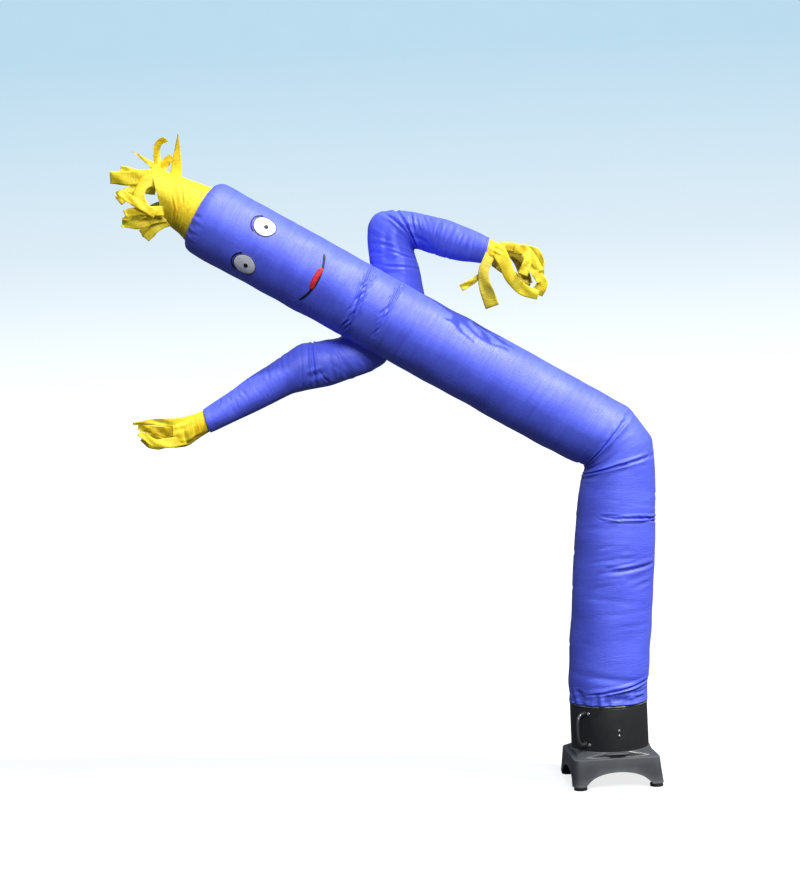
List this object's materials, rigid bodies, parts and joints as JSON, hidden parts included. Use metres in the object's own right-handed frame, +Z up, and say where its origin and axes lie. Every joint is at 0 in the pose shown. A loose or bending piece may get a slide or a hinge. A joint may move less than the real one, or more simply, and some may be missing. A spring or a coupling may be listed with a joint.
{
  "type": "inflatable air dancer",
  "caption": "Bent inflatable cloth tube with two arms, a simple face and streamer hair and hands, standing on a round electric blower.",
  "frame": {"origin": "on the ground under the middle of the whole object's box", "axes": "+Z up; the printed face looks along -Y; the trunk leans back towards -X from the knee, and the blower stands at +X"},
  "size_m": [2.0377, 0.3754, 2.5653],
  "materials": {
    "blue_cloth": "thin woven nylon with a slight sheen",
    "yellow_cloth": "thin woven nylon with a slight sheen",
    "black_moulding": "fine grained black moulding",
    "rim_plastic": "worn satin grey-black",
    "foot_rubber": "matt black rubber",
    "bright_steel": "bright plated steel",
    "motor_steel": "dark painted steel"
  },
  "bodies": {
    "root": {"body_tube": "blue_cloth", "raised_sleeve": "blue_cloth", "lowered_sleeve": "blue_cloth", "hair_tube": "yellow_cloth", "hair_streamers": "yellow_cloth", "raised_cuff": "yellow_cloth", "raised_streamers": "yellow_cloth", "lowered_cuff": "yellow_cloth", "lowered_streamers": "yellow_cloth", "drum_housing": "black_moulding", "base_moulding": "black_moulding", "rolled_rim": "rim_plastic", "carry_grip": "black_moulding", "grip_bolt_low": "bright_steel", "grip_bolt_high": "bright_steel", "drum_screw_1": "bright_steel", "drum_screw_2": "bright_steel", "foot_front_left": "foot_rubber", "foot_front_right": "foot_rubber", "foot_back_left": "foot_rubber", "foot_back_right": "foot_rubber", "lead_inlet": "foot_rubber", "motor": "motor_steel", "motor_bracket": "motor_steel", "intake_guard": "motor_steel", "fan": "black_moulding"}
  },
  "joints": []
}
